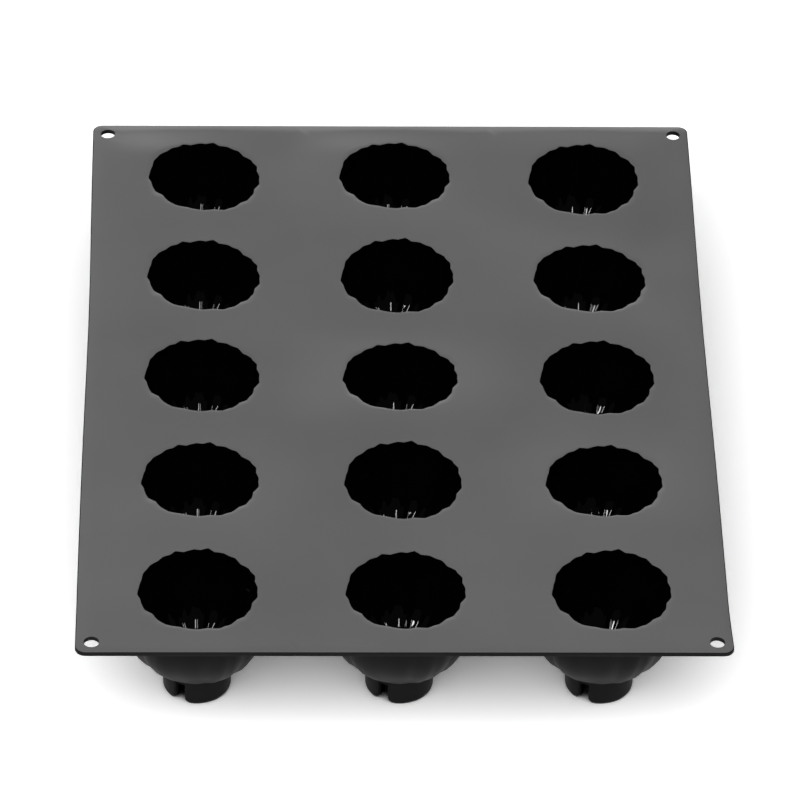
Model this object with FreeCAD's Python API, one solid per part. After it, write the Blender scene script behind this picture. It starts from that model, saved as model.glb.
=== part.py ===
import FreeCAD, Part
import math
import os

# A one-piece silicone tray mould: a flat sheet with round pleated cups hanging under it.
# Each cup is a truncated ball, wider at its belly than at its mouth, with a pleated cavity.
# It stands on a ring foot with one vent slot. Round walls are flat panels, so the model stays light.
# +X runs across the columns, +Y runs along the rows to the back, and the feet stand on z = 0.

# Driving sizes in millimetres, angles in degrees.
CUP_COLUMNS = 3
CUP_ROWS = 5
COLUMN_GAP = 26.4          # clear space between the bellies of two cups side by side
ROW_GAP = 10.2             # clear space between the bellies of two cups in a column
SIDE_MARGIN = 21.6         # from the outer belly of the side cups to the sheet's edge
END_MARGIN = 9.6           # from the outer belly of the end cups to the sheet's edge

OPENING_RADIUS = 27.0      # mean radius of a cup's mouth in the sheet
BELLY_SWELL = 3.5          # how far the cavity widens from its mouth to its belly
PLEAT_RELIEF = 1.0         # height at the mouth of a pleat whose relative height is 1
BOTTOM_FLAT_RADIUS = 10.0  # flat at the bottom of the cavity
CUP_WALL = 3.5
SHEET_THICKNESS = 2.2
SHEET_CORNER_RADIUS = 4.5

FOOT_RADIUS = 15.8
FOOT_WALL = 3.4
FOOT_CLEARANCE = 10.5      # from the surface it stands on to the flat under the cup
FOOT_EDGE = 1.5            # bevel round the foot's bottom edge
SLOT_WIDTH = 4.5
SLOT_AZIMUTH = 240.0

HOLE_DIAMETER = 7.2
HOLE_INSET = 7.5           # from the sheet's edges to the centre of a corner hole

CAVITY_BANDS = 5           # flat bands that a pleat is made of, from mouth to bottom
BODY_BANDS = 5
BODY_SIDES = 18            # flat sides round the outside of a cup
OVERRUN = 1.0              # how far a cutting tool runs past the face that it opens

# One pleat per line: the crest's azimuth and height, then those of the crease after it.
# Heights are shares of the pleat relief, outwards from the mean radius of the mouth.
PLEATS = (
    (350.0, 0.05, 8.0, -0.60),
    (21.0, 0.35, 40.0, -0.85),
    (52.0, 0.35, 58.5, -0.10),
    (65.0, 0.40, 75.0, -0.20),
    (81.0, 1.45, 87.0, -0.10),
    (96.0, 0.20, 105.0, -0.90),
    (111.0, 0.75, 118.0, -0.55),
    (126.0, 0.05, 134.0, -0.60),
    (148.0, 0.15, 166.0, -0.55),
    (185.0, 0.50, 192.0, -0.10),
    (205.0, 0.70, 219.0, -0.50),
    (236.0, 0.65, 252.0, -0.35),
    (268.0, 0.05, 284.0, -0.40),
    (297.0, 1.00, 311.0, -0.05),
    (319.0, 0.80, 340.0, -0.75),
)

# Sizes that follow from the driving ones.
belly_radius = OPENING_RADIUS + BELLY_SWELL
body_radius = belly_radius + CUP_WALL
belly_depth = math.sqrt(belly_radius ** 2 - OPENING_RADIUS ** 2)
cavity_depth = belly_depth + math.sqrt(belly_radius ** 2 - BOTTOM_FLAT_RADIUS ** 2)
sheet_top = FOOT_CLEARANCE + CUP_WALL + cavity_depth
sheet_bottom = sheet_top - SHEET_THICKNESS
belly_height = sheet_top - belly_depth

column_pitch = 2 * body_radius + COLUMN_GAP
row_pitch = 2 * body_radius + ROW_GAP
sheet_size_x = (CUP_COLUMNS - 1) * column_pitch + 2 * (body_radius + SIDE_MARGIN)
sheet_size_y = (CUP_ROWS - 1) * row_pitch + 2 * (body_radius + END_MARGIN)


def pleated_outline():
    """Azimuth and relative height of the corners of the pleated mouth."""
    corners = []
    relief = PLEAT_RELIEF / OPENING_RADIUS
    for crest_azimuth, crest_height, crease_azimuth, crease_height in PLEATS:
        corners.append((crest_azimuth, crest_height * relief))
        corners.append((crease_azimuth, crease_height * relief))
    return corners


def plain_outline():
    """Azimuth and relative height of the corners of a plain ring, with a side facing +X."""
    side_angle = 360.0 / BODY_SIDES
    return [(side_angle / 2 + side_angle * side, 0.0) for side in range(BODY_SIDES)]


def ring(outline, radius, height):
    """Corners of an outline at one height, its pleats in proportion to its radius."""
    corners = []
    for azimuth, relief in outline:
        turn = math.radians(azimuth)
        reach = radius * (1 + relief)
        corners.append(FreeCAD.Vector(reach * math.cos(turn), reach * math.sin(turn), height))
    return corners


def panelled_solid(rings):
    """Solid whose wall is flat panels from ring to ring, with a flat lid at each end."""
    faces = []
    for upper, lower in zip(rings, rings[1:]):
        for here in range(len(upper)):
            after = (here + 1) % len(upper)
            panel = [upper[here], upper[after], lower[after], lower[here], upper[here]]
            faces.append(Part.Face(Part.makePolygon(panel)))
    for lid in (rings[0], rings[-1]):
        faces.append(Part.Face(Part.makePolygon(lid + lid[:1])))
    return Part.Solid(Part.makeShell(faces))


def ball_rings(outline, radius, top_height, bottom_height, bands):
    """Rings of a ball about the belly, evenly turned from one height down to another."""
    start = math.asin((top_height - belly_height) / radius)
    end = math.asin((bottom_height - belly_height) / radius)
    rings = []
    for step in range(bands + 1):
        turn = start + (end - start) * step / bands
        height = belly_height + radius * math.sin(turn)
        rings.append(ring(outline, radius * math.cos(turn), height))
    return rings


def cavity():
    """What is cut out of a cup: the pleated ball and a short straight run above its mouth."""
    outline = pleated_outline()
    rings = ball_rings(outline, belly_radius, sheet_top, sheet_top - cavity_depth, CAVITY_BANDS)
    above_mouth = ring(outline, OPENING_RADIUS, sheet_top + OVERRUN)
    return panelled_solid([above_mouth] + rings)


def cup_body():
    """A cup and its foot before anything is cut: a ball down to the foot, then the foot's wall."""
    outline = plain_outline()
    inside_sheet = sheet_top - SHEET_THICKNESS / 2
    foot_top = belly_height - math.sqrt(body_radius ** 2 - FOOT_RADIUS ** 2)
    rings = ball_rings(outline, body_radius, inside_sheet, foot_top, BODY_BANDS)
    rings.append(ring(outline, FOOT_RADIUS, FOOT_EDGE))
    rings.append(ring(outline, FOOT_RADIUS - FOOT_EDGE, 0))
    return panelled_solid(rings)


def foot_hollow():
    """What is cut out of a foot: the space inside the ring and the vent slot through its wall."""
    outline = plain_outline()
    bore_radius = FOOT_RADIUS - FOOT_WALL
    bore_ends = [ring(outline, bore_radius, FOOT_CLEARANCE), ring(outline, bore_radius, -OVERRUN)]
    bore = panelled_solid(bore_ends)
    slot = Part.makeBox(FOOT_RADIUS + OVERRUN, SLOT_WIDTH, FOOT_CLEARANCE + OVERRUN)
    slot.translate(FreeCAD.Vector(0, -SLOT_WIDTH / 2, -OVERRUN))
    slot.rotate(FreeCAD.Vector(0, 0, 0), FreeCAD.Vector(0, 0, 1), SLOT_AZIMUTH)
    return bore.fuse(slot)


def sheet():
    """Flat sheet with rounded corners and a round hole near each corner."""
    half_x = sheet_size_x / 2
    half_y = sheet_size_y / 2
    plate = Part.makeBox(sheet_size_x, sheet_size_y, SHEET_THICKNESS)
    plate.translate(FreeCAD.Vector(-half_x, -half_y, sheet_bottom))
    upright = [edge for edge in plate.Edges if edge.BoundBox.ZLength > SHEET_THICKNESS / 2]
    plate = plate.makeFillet(SHEET_CORNER_RADIUS, upright)
    holes = []
    for side in (-1, 1):
        for end in (-1, 1):
            hole = Part.makeCylinder(HOLE_DIAMETER / 2, SHEET_THICKNESS + 2 * OVERRUN)
            hole_x = side * (half_x - HOLE_INSET)
            hole_y = end * (half_y - HOLE_INSET)
            hole.translate(FreeCAD.Vector(hole_x, hole_y, sheet_bottom - OVERRUN))
            holes.append(hole)
    return plate.cut(holes)


def cup_centres():
    """Centres of the cups, column by column."""
    centres = []
    for column in range(CUP_COLUMNS):
        for row in range(CUP_ROWS):
            x = (column - (CUP_COLUMNS - 1) / 2) * column_pitch
            y = (row - (CUP_ROWS - 1) / 2) * row_pitch
            centres.append(FreeCAD.Vector(x, y, 0))
    return centres


def at_each_centre(shape):
    """A copy of a shape at the centre of every cup."""
    copies = []
    for centre in cup_centres():
        copy = shape.copy()
        copy.translate(centre)
        copies.append(copy)
    return copies


def silicone_mould():
    """The whole mould as one solid."""
    cup = cup_body().cut(foot_hollow())
    return sheet().fuse(at_each_centre(cup)).cut(at_each_centre(cavity()))


os.makedirs("parts", exist_ok=True)
mould = silicone_mould()
mould.exportStep("parts/silicone_mould.step")
print("solids", len(mould.Solids), "valid", mould.isValid())
print("box", mould.BoundBox, "volume", round(mould.Volume))
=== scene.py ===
"""A one-piece silicone baking mould of fifteen pleated cups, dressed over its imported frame."""

import logging
import math
from collections.abc import Callable
from dataclasses import dataclass
from enum import Enum
from typing import NamedTuple

import bpy
from mathutils import Matrix, Vector


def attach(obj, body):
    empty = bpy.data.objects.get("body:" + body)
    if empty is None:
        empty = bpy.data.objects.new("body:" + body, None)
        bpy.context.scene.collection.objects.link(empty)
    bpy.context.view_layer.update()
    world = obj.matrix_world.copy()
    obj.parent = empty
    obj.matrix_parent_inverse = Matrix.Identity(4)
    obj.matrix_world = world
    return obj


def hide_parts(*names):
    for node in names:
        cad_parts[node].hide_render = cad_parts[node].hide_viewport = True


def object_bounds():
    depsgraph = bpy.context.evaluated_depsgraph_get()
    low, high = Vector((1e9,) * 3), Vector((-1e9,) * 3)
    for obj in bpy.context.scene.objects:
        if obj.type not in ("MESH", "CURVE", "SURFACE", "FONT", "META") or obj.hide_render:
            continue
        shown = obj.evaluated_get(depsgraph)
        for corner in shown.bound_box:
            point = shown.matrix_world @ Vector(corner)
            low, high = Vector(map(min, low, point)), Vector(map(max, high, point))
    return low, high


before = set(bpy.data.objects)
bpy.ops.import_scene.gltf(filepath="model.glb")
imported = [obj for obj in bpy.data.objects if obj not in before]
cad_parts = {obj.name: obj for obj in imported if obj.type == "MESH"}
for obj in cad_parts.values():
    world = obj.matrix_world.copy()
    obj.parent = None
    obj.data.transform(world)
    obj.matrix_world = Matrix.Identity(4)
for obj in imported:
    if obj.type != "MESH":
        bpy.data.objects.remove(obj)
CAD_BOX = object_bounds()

log = logging.getLogger("silicone_mould")

MM = 0.001
# Points that are closer than this are one point.
WELD = 0.002 * MM
# Keeps a divisor or a weight above nothing.
TINY = 1e-9

Point = tuple[float, float, float]


class Skin(Enum):
    """The finishes that the one moulding shows, by their material slot. The sheet's colour holds a
    painted sheen and the cavity's a painted shade.
    """

    SHEET = 0
    CAVITY = 1
    OUTSIDE = 2


def linear(hex_colour: str) -> tuple[float, float, float, float]:
    """Turn an sRGB hex colour into linear RGBA.

    Args:
        hex_colour: The colour as "#rrggbb".

    Returns:
        The linear colour with full alpha.
    """
    channels = []
    for start in (1, 3, 5):
        value = int(hex_colour[start:start + 2], 16) / 255.0
        channels.append(value / 12.92 if value <= 0.04045 else ((value + 0.055) / 1.055) ** 2.4)
    return (channels[0], channels[1], channels[2], 1.0)


def add_node(
    tree: bpy.types.NodeTree, kind: str, settings: dict | None = None, links: dict | None = None
) -> bpy.types.Node:
    """Add a node with its settings and links.

    Args:
        tree: The tree that it goes in.
        kind: The node's type.
        settings: Values of its inputs by name or number, or of its own properties by name.
        links: The output that feeds each input.

    Returns:
        The node.
    """
    node = tree.nodes.new(kind)
    for key, value in (settings or {}).items():
        if isinstance(key, str) and hasattr(node, key):
            setattr(node, key, value)
        else:
            node.inputs[key].default_value = value
    for key, output in (links or {}).items():
        tree.links.new(output, node.inputs[key])
    return node


def smooth(low: float, high: float, value: float) -> float:
    """Ease from 0 at low to 1 at high."""
    share = min(max((value - low) / (high - low), 0.0), 1.0)
    return share * share * (3.0 - 2.0 * share)


def object_mode() -> None:
    """Leave edit mode and deselect everything."""
    if bpy.context.mode != "OBJECT":
        bpy.ops.object.mode_set(mode="OBJECT")
    bpy.ops.object.select_all(action="DESELECT")


def take(*pieces: bpy.types.Object) -> bpy.types.Object:
    """Select these objects alone, the first one active.

    Args:
        pieces: The objects to select.

    Returns:
        The active object.
    """
    object_mode()
    for piece in pieces:
        piece.select_set(True)
    bpy.context.view_layer.objects.active = pieces[0]
    return pieces[0]


def edit(piece: bpy.types.Object, parts: str = "VERT") -> None:
    """Open one object in edit mode with nothing in it selected.

    Args:
        piece: The object.
        parts: What is picked: VERT, EDGE or FACE.
    """
    take(piece)
    bpy.ops.object.mode_set(mode="EDIT")
    bpy.ops.mesh.select_mode(type=parts)
    bpy.ops.mesh.select_all(action="DESELECT")


def pick_faces(piece: bpy.types.Object, wanted: Callable[[bpy.types.MeshPolygon], bool]) -> None:
    """Open an object in edit mode with the wanted faces selected.

    Args:
        piece: The object.
        wanted: Says of each face whether it is picked.
    """
    edit(piece, "FACE")
    bpy.ops.object.mode_set(mode="OBJECT")
    for face in piece.data.polygons:
        face.select = wanted(face)
    bpy.ops.object.mode_set(mode="EDIT")


def weld(piece: bpy.types.Object) -> None:
    """Merge the doubles of a piece and turn its faces outward.

    Args:
        piece: The piece, changed in place.
    """
    edit(piece)
    bpy.ops.mesh.select_all(action="SELECT")
    bpy.ops.mesh.remove_doubles(threshold=WELD)
    bpy.ops.mesh.normals_make_consistent(inside=False)
    object_mode()


def dress(piece: bpy.types.Object, finishes: list[bpy.types.Material], skin: Skin) -> None:
    """Give a piece all the finishes and show one of them on every face.

    Args:
        piece: The piece, changed in place.
        finishes: The finishes in the order of their slots.
        skin: The finish that shows.
    """
    for finish in finishes:
        piece.data.materials.append(finish)
    for face in piece.data.polygons:
        face.material_index = skin.value


def join(pieces: list[bpy.types.Object]) -> bpy.types.Object:
    """Join objects into the first of them.

    Args:
        pieces: The objects.

    Returns:
        The joined object.
    """
    piece = take(*pieces)
    bpy.ops.object.join()
    return piece


def cut_or_add(piece: bpy.types.Object, tool: bpy.types.Object, operation: str) -> None:
    """Apply a boolean with another solid, which is then removed.

    Args:
        piece: The solid that is changed.
        tool: The other solid.
        operation: UNION or DIFFERENCE.
    """
    take(piece)
    modifier = piece.modifiers.new(operation.title(), "BOOLEAN")
    modifier.operation = operation
    modifier.object = tool
    modifier.solver = "MANIFOLD"
    bpy.ops.object.modifier_apply(modifier=modifier.name)
    bpy.data.objects.remove(tool, do_unlink=True)


@dataclass
class RingStack:
    """A tube of rings, extruded from a circle and then given its shape ring by ring."""

    sides: int
    skin: Skin
    finishes: list[bpy.types.Material]

    def build(
        self, name: str, rings: int, place: Callable[[int, int], Point]
    ) -> bpy.types.Object:
        """Make the tube.

        Args:
            name: The object's name.
            rings: How many rings it has.
            place: Gives the point of a ring's number and a side's number.

        Returns:
            The open tube.
        """
        object_mode()
        bpy.ops.mesh.primitive_circle_add(vertices=self.sides, radius=1.0)
        piece = bpy.context.object
        piece.name = name
        edit(piece)
        bpy.ops.mesh.select_all(action="SELECT")
        for _ in range(rings - 1):
            bpy.ops.mesh.extrude_region_move(TRANSFORM_OT_translate={"value": (0.0, 0.0, 1.0)})
        object_mode()
        for vertex in piece.data.vertices:
            turn = math.atan2(vertex.co.y, vertex.co.x) / math.tau * self.sides
            vertex.co = place(round(vertex.co.z), round(turn) % self.sides)
        dress(piece, self.finishes, self.skin)
        return piece


@dataclass
class Pleats:
    """The uneven pleats of a cup.

    Each corner of the mouth has its azimuth in degrees and its height in mm, outward positive.
    """

    mouth_radius: float = 27.0 * MM
    sides: int = 120
    roundness: float = 0.3               # from straight flanks at 0 to rounded ones at 1
    corners: tuple[tuple[float, float], ...] = (
        (350.0, 0.45), (357.0, -0.10), (3.0, 0.05), (12.0, -0.65), (20.0, 0.45), (27.0, -0.20),
        (32.0, 0.05), (42.0, -1.20), (52.0, 0.10), (58.5, -0.35), (65.0, 0.15), (74.0, -0.60),
        (81.0, 1.30), (88.0, -0.30), (94.0, 0.20), (105.0, -0.90), (112.0, 0.80), (119.0, -0.35),
        (126.0, 0.15), (134.0, -0.50), (144.0, 0.15), (150.0, -0.12), (156.0, 0.12), (166.0, -0.65),
        (177.0, -0.30), (187.0, 0.55), (194.0, -0.15), (210.0, 0.55), (219.0, -0.85), (229.0, 0.25),
        (239.0, 0.55), (252.0, -0.50), (270.0, -0.10), (280.0, -0.65), (291.0, 0.95), (297.0, 0.60),
        (302.0, 0.90), (312.0, -0.10), (320.0, 0.80), (326.0, 0.30), (331.0, 0.30), (340.0, -0.85),
    )

    def azimuth(self, side: int) -> float:
        """Azimuth of a side's corner, moved onto a crest or crease that is close to it.

        Args:
            side: The corner's number.

        Returns:
            The azimuth in degrees.
        """
        even = 360.0 * side / self.sides
        for corner, _ in self.corners:
            away = (corner - even + 180.0) % 360.0 - 180.0
            if abs(away) < 180.0 / self.sides:
                return even + away
        return even

    def swell(self, azimuth: float) -> float:
        """Share by which a pleat widens or narrows the mouth.

        Args:
            azimuth: The azimuth in degrees.

        Returns:
            The share of the radius, outward positive.
        """
        corners = sorted((turn % 360.0, height) for turn, height in self.corners)
        first, last = corners[0], corners[-1]
        corners = [(last[0] - 360.0, last[1])] + corners + [(first[0] + 360.0, first[1])]
        here = azimuth % 360.0
        for (start, low), (end, high) in zip(corners, corners[1:]):
            if start <= here <= end:
                share = (here - start) / (end - start)
                eased = (1.0 - self.roundness) * share + self.roundness * smooth(0.0, 1.0, share)
                return (low + (high - low) * eased) * MM / self.mouth_radius
        return 0.0


@dataclass
class PleatedCup:
    """One cup: its pleated cavity, its outside and its ring foot with a vent slot."""

    pleats: Pleats
    finishes: list[bpy.types.Material]
    sheet_top: float
    sheet_thickness: float = 2.2 * MM
    mouth_edge: float = 0.35 * MM
    mouth_ease: float = 0.3              # where the edge's middle ring lies, as a share of it
    belly_radius: float = 30.5 * MM
    cavity_depth: float = 43.0 * MM
    flat_radius: float = 10.0 * MM
    flat_edge: float = 2.0 * MM
    flat_ease: float = 0.4               # how much of that edge is eased, as a share of it
    wall: float = 3.5 * MM
    cavity_bands: int = 12
    outside_bands: int = 9
    slimming: float = 0.9 * MM           # how much slimmer than a ball the bowl is low down
    slim_from: float = 42.0 * MM         # height above which it is a plain ball
    slim_to: float = 24.0 * MM           # height below which it is slimmed in full
    relief_foot: float = 12.0 * MM       # height below which the outside has no pleats
    relief_head: float = 24.0 * MM       # height above which it has them in full
    foot_radius: float = 15.8 * MM
    foot_stub: float = 15.4 * MM         # radius of the bowl where it ends inside the foot
    foot_wall: float = 3.4 * MM
    foot_clearance: float = 10.5 * MM
    foot_root: float = 13.3 * MM         # height of the foot's ring, its top inside the bowl
    foot_round: float = 1.5 * MM
    foot_round_steps: int = 4
    foot_steps: int = 57
    slot_width: float = 4.5 * MM
    slot_azimuth: float = 240.0
    slot_edge: float = 1.1 * MM
    slot_edge_steps: int = 3
    slot_end_reach: float = 1.001        # how far round an end's points lie at most, in half gaps
    slot_end_facing: float = 0.99        # how squarely an end's face looks into the slot
    slot_corner: float = 2.8 * MM        # rounding of the ends' lower corners
    slot_lift_height: float = 7.0 * MM   # height at which that rounding has faded out

    @property
    def belly_height(self) -> float:
        """Height of the belly, where the cup is widest."""
        return self.sheet_top - math.sqrt(self.belly_radius ** 2 - self.pleats.mouth_radius ** 2)

    def ball(
        self, radius: float, top: float, bottom: float, bands: int
    ) -> list[tuple[float, float]]:
        """Radius and height down a ball about the belly.

        Args:
            radius: The ball's radius.
            top: The height that it starts at.
            bottom: The height that it ends at.
            bands: How many bands it has.

        Returns:
            The rings from top to bottom.
        """
        start = math.asin((top - self.belly_height) / radius)
        end = math.asin((bottom - self.belly_height) / radius)
        rings = []
        for step in range(bands + 1):
            turn = start + (end - start) * step / bands
            rings.append((radius * math.cos(turn), self.belly_height + radius * math.sin(turn)))
        return rings

    def cavity_profile(self) -> list[tuple[float, float, float]]:
        """The cavity's rings, from the mouth's rounded edge to the pole of the flat bottom.

        Returns:
            Radius, height and share of the pleats of each ring.
        """
        top = self.sheet_top
        edge = self.mouth_edge
        eased = self.mouth_ease * edge
        mouth = self.pleats.mouth_radius
        bottom = top - self.cavity_depth
        flat = self.flat_edge * self.flat_ease
        rings = [(mouth + edge, top), (mouth + eased, top - eased)]
        rings += self.ball(self.belly_radius, top - edge, bottom + flat, self.cavity_bands)
        rings += [(self.flat_radius - flat, bottom), (self.flat_radius / 2, bottom), (0.0, bottom)]
        return [(radius, height, 1.0) for radius, height in rings]

    def outside_profile(self) -> list[tuple[float, float, float]]:
        """The outside's rings, from a lid at the sheet down the ball to a pole inside the foot.

        Returns:
            Radius, height and share of the pleats of each ring.
        """
        radius = self.belly_radius + self.wall
        foot_top = self.belly_height - math.sqrt(radius ** 2 - self.foot_stub ** 2)
        top = self.sheet_top - self.sheet_thickness
        rings = self.ball(radius, top, foot_top, self.outside_bands)
        shaped = [(0.0, top, 0.0)]
        for reach, height in rings:
            relief = smooth(self.relief_foot, self.relief_head, height)
            slim = 1.0 - self.slimming / radius * smooth(-self.slim_from, -self.slim_to, -height)
            height = self.belly_height + (height - self.belly_height) * slim
            shaped.append((reach * slim, height, relief))
        for reach in (self.foot_stub, self.foot_stub / 2, 0.0):
            shaped.append((reach, self.foot_clearance, 0.0))
        return shaped

    def point(self, ring: tuple[float, float, float], side: int) -> Point:
        """Point of a ring on one side.

        Args:
            ring: Radius, height and share of the pleats.
            side: The side's number.

        Returns:
            The point about the cup's axis.
        """
        radius, height, share = ring
        azimuth = self.pleats.azimuth(side)
        reach = radius * (1.0 + share * self.pleats.swell(azimuth))
        turn = math.radians(azimuth)
        return (reach * math.cos(turn), reach * math.sin(turn), height)

    def cavity(self) -> bpy.types.Object:
        """The inner skin, from the mouth's rounded edge to the closed bottom.

        Returns:
            The open skin.
        """
        profile = self.cavity_profile()
        # The cavity takes the polished finish, whose near-black colour is a painted shade.
        stack = RingStack(self.pleats.sides, Skin.CAVITY, self.finishes)
        return stack.build(
            "cavity", len(profile), lambda ring, side: self.point(profile[ring], side)
        )

    def outside(self) -> bpy.types.Object:
        """The outer skin as a closed solid, with its ring foot added to it.

        Returns:
            The closed solid.
        """
        profile = self.outside_profile()
        stack = RingStack(self.pleats.sides, Skin.OUTSIDE, self.finishes)
        body = stack.build(
            "outside", len(profile), lambda ring, side: self.point(profile[ring], side)
        )
        weld(body)
        cut_or_add(body, self.foot(), "UNION")
        return body

    def foot(self) -> bpy.types.Object:
        """A ring that is open at the vent slot, with rounded lower edges and ends.

        Returns:
            The closed ring.
        """
        object_mode()
        middle = self.foot_radius - self.foot_wall / 2
        bpy.ops.mesh.primitive_plane_add(size=1.0)
        foot = bpy.context.object
        foot.name = "foot"
        foot.data.transform(Matrix.Diagonal((self.foot_wall, self.foot_root, 1.0, 1.0)))
        upright = Matrix.Rotation(math.pi / 2, 4, "X")
        foot.data.transform(Matrix.Translation((middle, 0.0, self.foot_root / 2)) @ upright)
        edit(foot)
        bpy.ops.object.mode_set(mode="OBJECT")
        for vertex in foot.data.vertices:
            vertex.select = vertex.co.z < self.foot_root / 2
        bpy.ops.object.mode_set(mode="EDIT")
        bpy.ops.mesh.bevel(
            offset=self.foot_round, segments=self.foot_round_steps, affect="VERTICES"
        )
        bpy.ops.mesh.select_all(action="SELECT")
        gap = math.asin(self.slot_width / 2 / self.foot_radius)
        bpy.ops.mesh.spin(
            steps=self.foot_steps, angle=2.0 * gap - math.tau,
            center=(0.0, 0.0, 0.0), axis=(0.0, 0.0, 1.0),
        )
        object_mode()
        self.square_ends(foot, gap)
        foot.data.transform(Matrix.Rotation(math.radians(self.slot_azimuth) + gap, 4, "Z"))
        dress(foot, self.finishes, Skin.OUTSIDE)
        return foot

    def square_ends(self, foot: bpy.types.Object, gap: float) -> None:
        """Make the foot's two ends parallel and round their edges.

        Args:
            foot: The ring, its first end on +X.
            gap: Half the slot's angle at the outer wall.
        """
        to_slot = Matrix.Rotation(gap, 4, "Z")
        foot.data.transform(to_slot)
        half = self.slot_width / 2
        for vertex in foot.data.vertices:
            turn = math.atan2(vertex.co.y, vertex.co.x)
            if abs(turn) < gap * self.slot_end_reach:
                reach = math.hypot(vertex.co.x, vertex.co.y)
                vertex.co.x = math.sqrt(reach ** 2 - half ** 2)
                vertex.co.y = math.copysign(half, turn)
        weld(foot)

        def at_slot(face: bpy.types.MeshPolygon) -> bool:
            """Say whether a face is one of the two flat ends.

            Args:
                face: The face.

            Returns:
                True for an end.
            """
            flat = abs(face.normal.y) > self.slot_end_facing
            placed = abs(abs(face.center.y) - half) < WELD
            return flat and placed and face.center.x > 0

        pick_faces(foot, at_slot)
        bpy.ops.mesh.region_to_loop()
        bpy.ops.mesh.bevel(
            offset=self.slot_edge, offset_type="OFFSET", segments=self.slot_edge_steps,
            affect="EDGES",
        )
        object_mode()
        for vertex in foot.data.vertices:
            beyond = abs(vertex.co.y) - half
            if vertex.co.x > 0 and beyond < self.slot_corner:
                rest = self.slot_corner - max(beyond, 0.0)
                lift = self.slot_corner - math.sqrt(max(self.slot_corner ** 2 - rest ** 2, 0.0))
                vertex.co.z += lift * max(1.0 - vertex.co.z / self.slot_lift_height, 0.0)
        foot.data.transform(to_slot.inverted())

    def build(self) -> bpy.types.Object:
        """The cup, open at its mouth's edge and where its outside meets the sheet.

        Returns:
            The cup about the origin.
        """
        outside = self.outside()
        lid = self.sheet_top - self.sheet_thickness - WELD
        pick_faces(outside, lambda face: face.center.z > lid)
        bpy.ops.mesh.delete(type="FACE")
        object_mode()
        return join([outside, self.cavity()])


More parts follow.
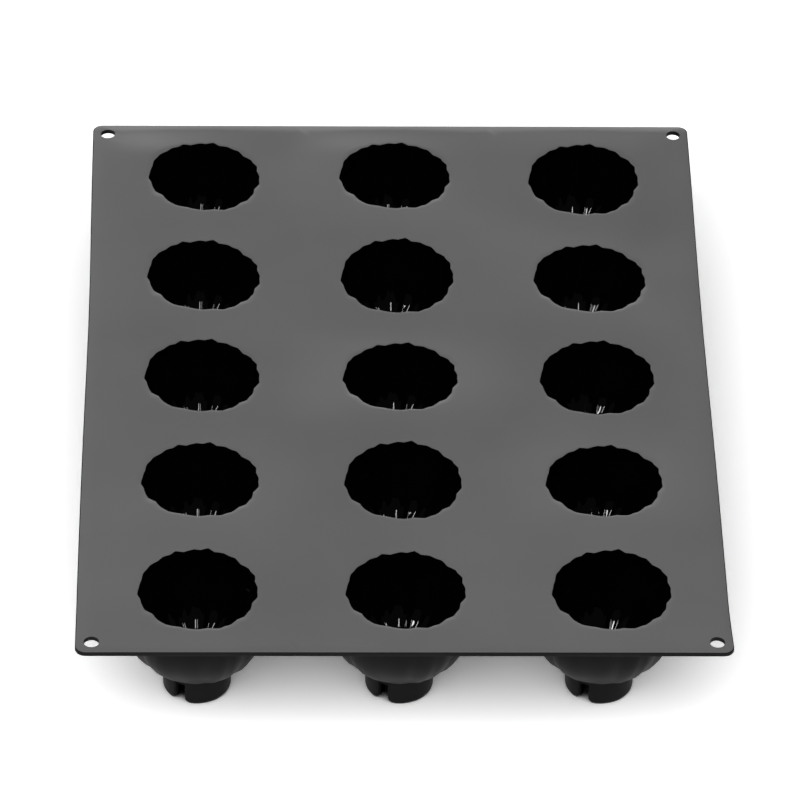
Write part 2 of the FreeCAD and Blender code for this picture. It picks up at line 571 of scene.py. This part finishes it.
@dataclass
class Sheet:
    """The flat sheet between the mouths, made cell by cell and closed round its rim."""

    cup: PleatedCup
    finishes: list[bpy.types.Material]
    half_x: float
    half_y: float
    columns: int = 3
    rows: int = 5
    column_pitch: float = 94.4 * MM
    row_pitch: float = 78.2 * MM
    corner_radius: float = 4.5 * MM
    rim_round: float = 0.45 * MM
    rim_steps: int = 2
    rim_upright: float = 0.1             # how little a face of the rim looks up or down
    hole_radius: float = 3.6 * MM
    hole_inset: float = 7.5 * MM
    hole_sides: int = 40
    pin_thicknesses: float = 5.0         # length of the pins that cut the holes
    # Where the rings of a cell lie, as shares of the way from the cup out to the border.
    top_rings: tuple[float, ...] = (0.0, 0.10, 0.28, 0.50, 0.75, 1.0)
    under_rings: tuple[float, ...] = (0.0, 0.30, 0.65, 1.0)
    arc_steps: int = 3                   # points on each half of a corner's arc
    blend_steps: int = 10                # points over which the border eases to that arc

    def centre(self, column: int, row: int) -> tuple[float, float]:
        """Centre of a cup in the sheet."""
        x = (column - (self.columns - 1) / 2) * self.column_pitch
        return (x, (row - (self.rows - 1) / 2) * self.row_pitch)

    def border(self, column: int, row: int) -> list[tuple[float, float]]:
        """Points round a cell's border about its centre, one for each side of the cup.

        Args:
            column: The cell's column.
            row: The cell's row.

        Returns:
            The points, anticlockwise from +X.
        """
        x, y = self.centre(column, row)
        last_column, last_row = self.columns - 1, self.rows - 1
        right = self.half_x - x if column == last_column else self.column_pitch / 2
        left = self.half_x + x if column == 0 else self.column_pitch / 2
        back = self.half_y - y if row == last_row else self.row_pitch / 2
        front = self.half_y + y if row == 0 else self.row_pitch / 2
        sides = self.cup.pleats.sides
        points = []
        for side in range(sides):
            turn = math.tau * side / sides
            across, along = math.cos(turn), math.sin(turn)
            reach = min(
                (right if across > 0 else left) / max(abs(across), TINY),
                (back if along > 0 else front) / max(abs(along), TINY),
            )
            points.append((reach * across, reach * along))
        for sign_x, width in ((1, right), (-1, left)):
            for sign_y, length in ((1, back), (-1, front)):
                corner_x, corner_y = sign_x * width, sign_y * length
                corner = round(math.atan2(corner_y, corner_x) / math.tau * sides) % sides
                points[corner] = (corner_x, corner_y)
                outer_x = abs(x + corner_x) > self.half_x - WELD
                outer_y = abs(y + corner_y) > self.half_y - WELD
                if outer_x and outer_y:
                    self.round_corner(points, corner, corner_x, corner_y)
        return points

    def round_corner(
        self, points: list[tuple[float, float]], corner: int, x: float, y: float
    ) -> None:
        """Lay the points near an outer corner on its arc and ease their neighbours to it.

        Args:
            points: The cell's border, changed in place.
            corner: The number of the corner's point.
            x: Where the corner is across.
            y: Where the corner is along.
        """
        radius = self.corner_radius
        middle = (x - math.copysign(radius, x), y - math.copysign(radius, y))
        towards = math.atan2(math.copysign(1.0, y), math.copysign(1.0, x))
        for step in range(-self.arc_steps, self.arc_steps + 1):
            turn = towards + math.pi / 4 * step / self.arc_steps
            point = (middle[0] + radius * math.cos(turn), middle[1] + radius * math.sin(turn))
            points[(corner + step) % len(points)] = point
        for way in (-1, 1):
            near = points[(corner + way * self.arc_steps) % len(points)]
            far = points[(corner + way * self.blend_steps) % len(points)]
            for step in range(self.arc_steps + 1, self.blend_steps):
                share = (step - self.arc_steps) / (self.blend_steps - self.arc_steps)
                point = (near[0] + (far[0] - near[0]) * share, near[1] + (far[1] - near[1]) * share)
                points[(corner + way * step) % len(points)] = point

    def cell(self, column: int, row: int, top: bool) -> bpy.types.Object:
        """One face of a cell, from the cup's loop out to the border.

        Args:
            column: The cell's column.
            row: The cell's row.
            top: True for the upper face, False for the one underneath.

        Returns:
            The open face.
        """
        loop = self.cup.cavity_profile()[0] if top else self.cup.outside_profile()[1]
        shares = self.top_rings if top else self.under_rings
        border = self.border(column, row)
        x, y = self.centre(column, row)

        def place(ring: int, side: int) -> Point:
            """Point between the cup's loop and the border.

            Args:
                ring: The ring's number, outwards.
                side: The side's number.

            Returns:
                The point in the sheet.
            """
            inner = self.cup.point(loop, side)
            outer = border[side]
            share = shares[ring]
            return (
                x + inner[0] + (outer[0] - inner[0]) * share,
                y + inner[1] + (outer[1] - inner[1]) * share,
                inner[2],
            )

        # The upper faces take the sheet's finish, whose lighter colour is a painted sheen; the
        # faces underneath take the outside's.
        stack = RingStack(self.cup.pleats.sides, Skin.SHEET if top else Skin.OUTSIDE, self.finishes)
        return stack.build("cell", len(shares), place)

    def build(self) -> bpy.types.Object:
        """The sheet with a copy of the cup in each cell, closed and cut through at its corners.

        Returns:
            The mould, still flat.
        """
        cup = self.cup.build()
        parts = []
        for column in range(self.columns):
            for row in range(self.rows):
                x, y = self.centre(column, row)
                copy = bpy.data.objects.new("cup", cup.data.copy())
                bpy.context.collection.objects.link(copy)
                copy.data.transform(Matrix.Translation((x, y, 0.0)))
                parts += [copy, self.cell(column, row, True), self.cell(column, row, False)]
        bpy.data.objects.remove(cup, do_unlink=True)
        mould = join(parts)
        mould.name = mould.data.name = "moulded_silicone"
        edit(mould)
        bpy.ops.mesh.select_all(action="SELECT")
        bpy.ops.mesh.remove_doubles(threshold=WELD)
        bpy.ops.mesh.select_mode(type="EDGE")
        bpy.ops.mesh.select_all(action="DESELECT")
        bpy.ops.mesh.select_non_manifold(
            use_wire=False, use_boundary=True, use_multi_face=False,
            use_non_contiguous=False, use_verts=False,
        )
        bpy.ops.mesh.bridge_edge_loops()
        weld(mould)
        self.round_rim(mould)
        cut_or_add(mould, self.corner_pins(), "DIFFERENCE")
        return mould

    def round_rim(self, mould: bpy.types.Object) -> None:
        """Round the two edges that run round the sheet's rim.

        Args:
            mould: The closed mould.
        """
        def on_rim(face: bpy.types.MeshPolygon) -> bool:
            """Say whether a face is part of the sheet's upright rim.

            Args:
                face: The face.

            Returns:
                True for a face of the rim.
            """
            outer_x = abs(face.center.x) > self.half_x - self.corner_radius
            outer_y = abs(face.center.y) > self.half_y - self.corner_radius
            upright = abs(face.normal.z) < self.rim_upright
            return upright and (outer_x or outer_y) and face.center.z > self.cup.belly_height

        pick_faces(mould, on_rim)
        mould.active_material_index = Skin.OUTSIDE.value
        bpy.ops.object.material_slot_assign()
        bpy.ops.mesh.region_to_loop()
        bpy.ops.mesh.bevel(
            offset=self.rim_round, segments=self.rim_steps, affect="EDGES",
            material=Skin.OUTSIDE.value,
        )
        object_mode()

    def corner_pins(self) -> bpy.types.Object:
        """Four pins in one object, which cut the holes near the sheet's corners.

        Returns:
            The pins.
        """
        pins = []
        length = self.pin_thicknesses * self.cup.sheet_thickness
        for side in (-1, 1):
            for end in (-1, 1):
                object_mode()
                bpy.ops.mesh.primitive_cylinder_add(
                    vertices=self.hole_sides, radius=self.hole_radius, depth=length
                )
                pin = bpy.context.object
                x = side * (self.half_x - self.hole_inset)
                y = end * (self.half_y - self.hole_inset)
                pin.data.transform(Matrix.Translation((x, y, self.cup.sheet_top)))
                dress(pin, self.finishes, Skin.OUTSIDE)
                pins.append(pin)
        return join(pins)


class Lie(NamedTuple):
    """How one mouth lies: its lift and shifts in mm, its tilts in degrees."""

    lift: float
    tilt_across: float
    tilt_along: float
    shift_across: float
    shift_along: float


@dataclass
class SoftSettling:
    """How the soft mould has settled: its mouths, its bowed long edges and its leaning cups.

    The mouths stand in rows from the back to the front, and from left to right in each row.
    """

    sheet: Sheet
    lift_reach: float = 26.0 * MM        # how far a mouth's lift and tilt carry
    lift_share: float = 0.65             # share of them that the sheet takes on
    lowering: float = -0.8 * MM          # how far the whole sheet has sunk
    shift_reach: float = 30.0 * MM       # how far a mouth's shift carries
    margin: float = 28.0 * MM            # width of the rim over which all that fades out
    still_below: float = 6.0 * MM        # height below which the feet stand still
    full_above: float = 48.0 * MM        # height above which a place settles in full
    bow_start: float = 112.0 * MM        # how far out from the middle the bow begins
    bow_centre: float = 50.0 * MM        # where along a long edge it is deepest
    bow_reach: float = 90.0 * MM
    left_bow: float = 1.0 * MM
    right_bow: float = 0.7 * MM
    right_inset: float = 1.3 * MM        # how far in the right edge lies besides its bow
    flare_start: float = -15.0 * MM      # that inset grows from here, measured from the front edge,
    flare_end: float = 35.0 * MM         # to here
    mouth_drift: float = 0.5 * MM        # how far to the right the mouths stand
    # How far to the right the feet stand: the left, the middle and the right column.
    foot_drifts: tuple[float, float, float] = (-0.8 * MM, -1.4 * MM, -3.0 * MM)
    lean_from: float = 26.0 * MM         # height above which a cup leans over
    mouths: tuple[tuple[Lie, Lie, Lie], ...] = (
        (
            Lie(1.0, -4.5, 0.5, 0.0, 0.6),
            Lie(2.0, -2.0, -0.5, 0.3, 1.0),
            Lie(-0.5, 0.5, 3.0, -0.1, 0.3),
        ),
        (
            Lie(-0.5, -4.5, -0.5, 0.3, -0.1),
            Lie(-0.5, 0.5, 3.5, 0.3, -0.1),
            Lie(-2.0, -2.5, -2.5, -0.1, -1.0),
        ),
        (
            Lie(0.0, -2.5, -0.5, 0.1, 0.3),
            Lie(-0.5, -0.5, -5.0, 0.5, -0.1),
            Lie(-1.0, 0.5, 1.0, 0.4, -0.2),
        ),
        (
            Lie(0.5, -1.0, -2.0, -0.2, 0.1),
            Lie(0.0, -1.0, 1.5, 0.5, 0.2),
            Lie(0.0, 1.0, -4.5, 0.4, 0.1),
        ),
        (
            Lie(0.0, -0.5, 2.0, -0.7, 0.2),
            Lie(-0.5, -0.5, -1.5, 0.4, 0.2),
            Lie(0.0, 0.0, 0.5, 0.6, 0.0),
        ),
    )

    def settled(self, x: float, y: float) -> Point:
        """How far a place on the sheet has moved from its flat place.

        Args:
            x: Place across.
            y: Place along.

        Returns:
            How far it has moved across, along and up.
        """
        rise = across = along = lift_weight = shift_weight = 0.0
        for row_from_back, row in enumerate(self.mouths):
            for column, lie in enumerate(row):
                centre_x, centre_y = self.sheet.centre(column, self.sheet.rows - 1 - row_from_back)
                away_x, away_y = x - centre_x, y - centre_y
                away = away_x ** 2 + away_y ** 2
                near = math.exp(-away / (2.0 * self.lift_reach ** 2)) + TINY
                slope_across = math.tan(math.radians(lie.tilt_across)) * away_x
                slope_along = math.tan(math.radians(lie.tilt_along)) * away_y
                rise += near * (lie.lift * MM + (slope_across + slope_along))
                lift_weight += near
                near = math.exp(-away / (2.0 * self.shift_reach ** 2)) + TINY
                across += near * lie.shift_across * MM
                along += near * lie.shift_along * MM
                shift_weight += near
        share = self.inside(x, y)
        up = self.lift_share * rise / lift_weight * share + self.lowering
        return (across / shift_weight * share, along / shift_weight * share, up)

    def inside(self, x: float, y: float) -> float:
        """Share of the settling that a place has: none on the sheet's rim, all of it further in."""
        across = smooth(0.0, self.margin, self.sheet.half_x - abs(x))
        return across * smooth(0.0, self.margin, self.sheet.half_y - abs(y))

    def drift(self, x: float, y: float, z: float) -> float:
        """How far a place has moved across, as the cups lean a little to the left.

        Args:
            x: Place across.
            y: Place along.
            z: Height.

        Returns:
            How far the place moves across.
        """
        left, middle, right = self.foot_drifts
        outer = right if x > 0 else left
        half_pitch = self.sheet.column_pitch / 2
        foot = middle + (outer - middle) * smooth(0.0, half_pitch, abs(x) - half_pitch / 2)
        mouth = self.mouth_drift * self.inside(x, y)
        share = smooth(self.lean_from, self.sheet.cup.sheet_top, z)
        return foot * (1.0 - share) + mouth * share

    def bow(self, x: float, y: float) -> float:
        """How far a long edge is drawn in at a place; the right one flares out again in front.

        Args:
            x: Place across.
            y: Place along.

        Returns:
            How far the place moves across.
        """
        inset, most = (self.right_inset, self.right_bow) if x > 0 else (0.0, self.left_bow)
        inset *= smooth(self.flare_start, self.flare_end, y + self.sheet.half_y)
        along = math.exp(-((y - self.bow_centre) / self.bow_reach) ** 2)
        share = smooth(self.bow_start, self.sheet.half_x, abs(x))
        return -math.copysign((inset + most * along) * share, x)

    def apply(self, mould: bpy.types.Object) -> None:
        """Settle a flat mould, its feet held still.

        Args:
            mould: The mould, changed in place.
        """
        for vertex in mould.data.vertices:
            x, y, z = vertex.co
            share = smooth(self.still_below, self.full_above, z)
            across, along, up = self.settled(x, y)
            vertex.co.x = x + (self.bow(x, y) + across) * share + self.drift(x, y, z)
            vertex.co.y = y + along * share
            vertex.co.z = z + up * share


@dataclass(frozen=True)
class SiliconeFinish:
    """One finish of the moulded silicone: what its surface does to light."""

    name: str
    colour: str
    pale: str
    roughness: float
    roughness_spread: float
    ior: float
    specular: float
    cloud_mm: float
    grain_mm: float
    grain_depth_mm: float
    grain_stretch: float = 1.0
    grain_detail: float = 2.0
    cloud_detail: float = 3.0
    cloud_roughness: float = 0.55
    noise_range: tuple[float, float] = (0.3, 0.7)

    def build(self) -> bpy.types.Material:
        """Make the material.

        Returns:
            The node material.
        """
        material = bpy.data.materials.new(self.name)
        material.use_nodes = True
        tree = material.node_tree
        tree.nodes.clear()
        place = add_node(tree, "ShaderNodeTexCoord")
        # Soft clouding, from dust and from how evenly the steel of the tool was polished.
        cloud = add_node(
            tree, "ShaderNodeTexNoise",
            {"Scale": 1.0 / (self.cloud_mm * MM), "Detail": self.cloud_detail,
             "Roughness": self.cloud_roughness},
            {"Vector": place.outputs["Object"]},
        )
        tone = add_node(
            tree, "ShaderNodeMix",
            {"data_type": "RGBA", 6: linear(self.colour), 7: linear(self.pale)},
            {0: cloud.outputs["Fac"]},
        )
        gloss = add_node(
            tree, "ShaderNodeMapRange",
            {"From Min": self.noise_range[0], "From Max": self.noise_range[1],
             "To Min": self.roughness - self.roughness_spread,
             "To Max": self.roughness + self.roughness_spread},
            {"Value": cloud.outputs["Fac"]},
        )
        # The grain of the tool's face. A fine one is drawn a little coarser, so that it shows.
        stretch = add_node(
            tree, "ShaderNodeMapping", {"Scale": (1.0, 1.0, 1.0 / self.grain_stretch)},
            {"Vector": place.outputs["Object"]},
        )
        grain = add_node(
            tree, "ShaderNodeTexNoise",
            {"Scale": 1.0 / (self.grain_mm * MM), "Detail": self.grain_detail},
            {"Vector": stretch.outputs["Vector"]},
        )
        relief = add_node(
            tree, "ShaderNodeBump", {"Strength": 1.0, "Distance": self.grain_depth_mm * MM},
            {"Height": grain.outputs["Fac"]},
        )
        shader = add_node(
            tree, "ShaderNodeBsdfPrincipled",
            {"Metallic": 0.0, "IOR": self.ior, "Specular IOR Level": self.specular},
            {"Base Color": tone.outputs[2], "Roughness": gloss.outputs["Result"],
             "Normal": relief.outputs["Normal"]},
        )
        add_node(tree, "ShaderNodeOutputMaterial", {}, {"Surface": shader.outputs["BSDF"]})
        return material


# Black silicone rubber, pressed in a steel tool. Its top face is satin, so it greys a little in the
# light.
# Its base colour is painted far lighter than the rubber's own, a painted sheen on the top face.
SATIN_SHEET_PAINTED_SHEEN = SiliconeFinish(
    name="silicone_satin_painted_sheen", colour="#505050", pale="#5e5e5e",
    roughness=0.35, roughness_spread=0.03, ior=1.41, specular=0.5,
    cloud_mm=90.0, grain_mm=0.5, grain_depth_mm=0.010,
)
# The same rubber where the tool was polished, so that cakes let go, with clear streaks of light.
# Polishing leaves soft waves some millimetres long, which break the streaks.
# Its near-black base colour, darker than the rubber's own, is a painted shade in the cavities.
POLISHED_CAVITY_PAINTED_SHADE = SiliconeFinish(
    name="silicone_polished_painted_shade", colour="#020202", pale="#030303",
    roughness=0.03, roughness_spread=0.01, ior=1.41, specular=0.05,
    cloud_mm=30.0, grain_mm=4.0, grain_depth_mm=0.100, grain_stretch=2.0, grain_detail=0.0,
)
# The same rubber on the cups' outside, left fine and half matt by the tool.
HALF_MATT_OUTSIDE = SiliconeFinish(
    name="silicone_moulded_half_matt", colour="#131313", pale="#1b1b1b",
    roughness=0.42, roughness_spread=0.04, ior=1.41, specular=0.05,
    cloud_mm=22.0, grain_mm=0.5, grain_depth_mm=0.008,
)


@dataclass
class Mould:
    """The whole mould: its cups, its sheet and how it has settled."""

    smooth_angle: float = 32.0
    frame_digits: int = 5

    def build(self) -> bpy.types.Object:
        """Make the mould, dress it and put it in the frame.

        Returns:
            The finished piece.
        """
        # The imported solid's back right upper corner, to a hundredth of a millimetre.
        half_x, half_y, top = (round(reach, self.frame_digits) for reach in CAD_BOX[1])
        looks = (SATIN_SHEET_PAINTED_SHEEN, POLISHED_CAVITY_PAINTED_SHADE, HALF_MATT_OUTSIDE)
        finishes = [finish.build() for finish in looks]
        sheet = Sheet(PleatedCup(Pleats(), finishes, top), finishes, half_x, half_y)
        mould = sheet.build()
        SoftSettling(sheet).apply(mould)
        take(mould)
        bpy.ops.object.shade_smooth_by_angle(angle=math.radians(self.smooth_angle))
        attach(mould, "root")
        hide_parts("silicone_mould")
        return mould


@dataclass(frozen=True)
class Lamp:
    """One rectangular lamp, its size and place in metres and its power in watts."""

    name: str
    place: Point
    size: tuple[float, float]
    power: float
    aim: Point = (0.0, 0.0, 0.05)
    on_gloss: bool = True
    on_matt: bool = True

    def build(self) -> bpy.types.Object:
        """Hang the lamp.

        Returns:
            The lamp.
        """
        data = bpy.data.lights.new(self.name, "AREA")
        data.shape = "RECTANGLE"
        data.size, data.size_y = self.size
        data.energy = self.power
        lamp = bpy.data.objects.new(self.name, data)
        bpy.context.collection.objects.link(lamp)
        lamp.location = self.place
        towards = Vector(self.aim) - Vector(self.place)
        lamp.rotation_euler = towards.to_track_quat("-Z", "Y").to_euler()
        lamp.visible_glossy = self.on_gloss
        lamp.visible_diffuse = self.on_matt
        return lamp


# The main light, from the front and above. Gloss doesn't mirror it, so the cavities stay black.
SOFTBOX = Lamp(
    "front_softbox", (-0.22, -1.05, 1.2), (2.2, 1.65), 22.5, aim=(0.0, 0.0, 0.0), on_gloss=False
)
# Narrow strips that only gloss picks up, for the streaks deep in the cavities.
LEFT_STRIP = Lamp("left_strip", (-0.95, -1.0, 1.95), (0.07, 0.60), 40.0, on_matt=False)
FRONT_STRIP = Lamp("front_strip", (-0.3, -1.2, 2.0), (0.07, 0.60), 40.0, on_matt=False)
# A low panel behind the mould, which gleams on the sheet where that leans back.
BACK_PANEL = Lamp("back_panel", (-0.5, 2.0, 0.6), (2.6, 0.8), 12.0, on_matt=False)


@dataclass
class Studio:
    """The photograph's viewpoint, plain soft light and a pale floor."""

    focal_pixels: float = 6253.7         # focal length in pixels of the photograph
    image_pixels: float = 800.0
    sensor: float = 36.0
    pitch: float = 39.142
    yaw: float = 1.708
    roll: float = 1.175
    place: Point = (-68.3 * MM, -2325.8 * MM, 1935.1 * MM)
    far_clip: float = 100.0
    world_strength: float = 0.52
    floor_size: float = 12.0
    floor_colour: str = "#f4f4f4"
    floor_gain: float = 1.50             # whiteness of the seen floor, over 1 to overexpose it
    floor_glow: float = 0.05             # light that the seen floor gives off by itself
    hollow_reach: float = 17.0 * MM      # size of the hollows in which the seen floor is painted dark
    hollow_dark: float = 0.25            # openness at which that painted shade is full
    hollow_light: float = 0.50           # openness at which it is fully bright
    hollow_samples: int = 8
    lamps: tuple[Lamp, ...] = (SOFTBOX, LEFT_STRIP, FRONT_STRIP, BACK_PANEL)

    def camera(self) -> bpy.types.Object:
        """Set the camera where the photograph was taken.

        Returns:
            The camera.
        """
        pitch, yaw, roll = (math.radians(angle) for angle in (self.pitch, self.yaw, self.roll))
        level = math.cos(pitch)
        ahead = Vector((math.sin(yaw) * level, math.cos(yaw) * level, -math.sin(pitch)))
        right = Vector((math.cos(yaw), -math.sin(yaw), 0.0))
        up = right.cross(ahead)
        across = right * math.cos(roll) + up * math.sin(roll)
        upward = up * math.cos(roll) - right * math.sin(roll)
        data = bpy.data.cameras.new("viewpoint")
        data.sensor_width = self.sensor
        data.lens = self.focal_pixels / self.image_pixels * self.sensor
        data.clip_end = self.far_clip
        camera = bpy.data.objects.new("viewpoint", data)
        bpy.context.collection.objects.link(camera)
        turn = Matrix((across, upward, -ahead)).transposed().to_4x4()
        camera.matrix_world = Matrix.Translation(self.place) @ turn
        bpy.context.scene.camera = camera
        return camera

    def world(self) -> None:
        """Light everything evenly from a white world, which the camera sees as plain white."""
        world = bpy.data.worlds.new("studio")
        world.use_nodes = True
        bpy.context.scene.world = world
        tree = world.node_tree
        tree.nodes.clear()
        ray = add_node(tree, "ShaderNodeLightPath")
        level = add_node(
            tree, "ShaderNodeMapRange", {"To Min": self.world_strength, "To Max": 1.0},
            {"Value": ray.outputs["Is Camera Ray"]},
        )
        glow = add_node(
            tree, "ShaderNodeBackground", {"Color": (1.0, 1.0, 1.0, 1.0)},
            {"Strength": level.outputs["Result"]},
        )
        add_node(tree, "ShaderNodeOutputWorld", {}, {"Surface": glow.outputs["Background"]})

    def floor(self) -> bpy.types.Object:
        """Lay a pale floor under the feet.

        Returns:
            The floor.
        """
        object_mode()
        bpy.ops.mesh.primitive_plane_add(size=self.floor_size)
        floor = bpy.context.object
        floor.name = "floor"
        material = bpy.data.materials.new("painted_studio_floor")
        material.use_nodes = True
        tree = material.node_tree
        tree.nodes.clear()
        paint = add_node(tree, "ShaderNodeBsdfDiffuse", {"Color": linear(self.floor_colour)})
        # What the camera and gloss see is the same floor, overexposed to white, its shadow kept.
        # Its whiteness and glow are scaled down by ambient occlusion, a painted shade that keeps it
        # dark in narrow hollows, such as the inside of a foot.
        openness = add_node(
            tree, "ShaderNodeAmbientOcclusion",
            {"Distance": self.hollow_reach, "samples": self.hollow_samples},
        )
        gain = add_node(
            tree, "ShaderNodeMapRange",
            {"From Min": self.hollow_dark, "From Max": self.hollow_light,
             "To Max": self.floor_gain},
            {"Value": openness.outputs["AO"]},
        )
        glow_level = add_node(
            tree, "ShaderNodeMapRange",
            {"From Min": self.hollow_dark, "From Max": 1.0, "To Max": self.floor_glow},
            {"Value": openness.outputs["AO"]},
        )
        lifted = add_node(tree, "ShaderNodeBsdfDiffuse", {}, {"Color": gain.outputs["Result"]})
        glow = add_node(tree, "ShaderNodeEmission", {}, {"Strength": glow_level.outputs["Result"]})
        seen = add_node(
            tree, "ShaderNodeAddShader", {},
            {0: lifted.outputs["BSDF"], 1: glow.outputs["Emission"]},
        )
        ray = add_node(tree, "ShaderNodeLightPath")
        shown = add_node(
            tree, "ShaderNodeMath", {"operation": "MAXIMUM"},
            {0: ray.outputs["Is Camera Ray"], 1: ray.outputs["Is Glossy Ray"]},
        )
        clear = add_node(
            tree, "ShaderNodeMath", {"operation": "MAXIMUM"},
            {0: shown.outputs["Value"], 1: ray.outputs["Is Transmission Ray"]},
        )
        mix = add_node(
            tree, "ShaderNodeMixShader", {},
            {0: clear.outputs["Value"], 1: paint.outputs["BSDF"], 2: seen.outputs["Shader"]},
        )
        add_node(tree, "ShaderNodeOutputMaterial", {}, {"Surface": mix.outputs["Shader"]})
        floor.data.materials.append(material)
        return floor

    def build(self) -> None:
        """Set up the view, the lights and the floor."""
        scene = bpy.context.scene
        scene.view_settings.view_transform = "Standard"
        self.camera()
        self.world()
        for lamp in self.lamps:
            lamp.build()
        self.floor()


def main() -> None:
    """Build the studio and the mould and report each piece."""
    logging.basicConfig(level=logging.INFO, format="%(name)s: %(message)s")
    Studio().build()
    mould = Mould().build()
    log.info("%s: %d faces", mould.name, len(mould.data.polygons))


if __name__ == "__main__":
    main()
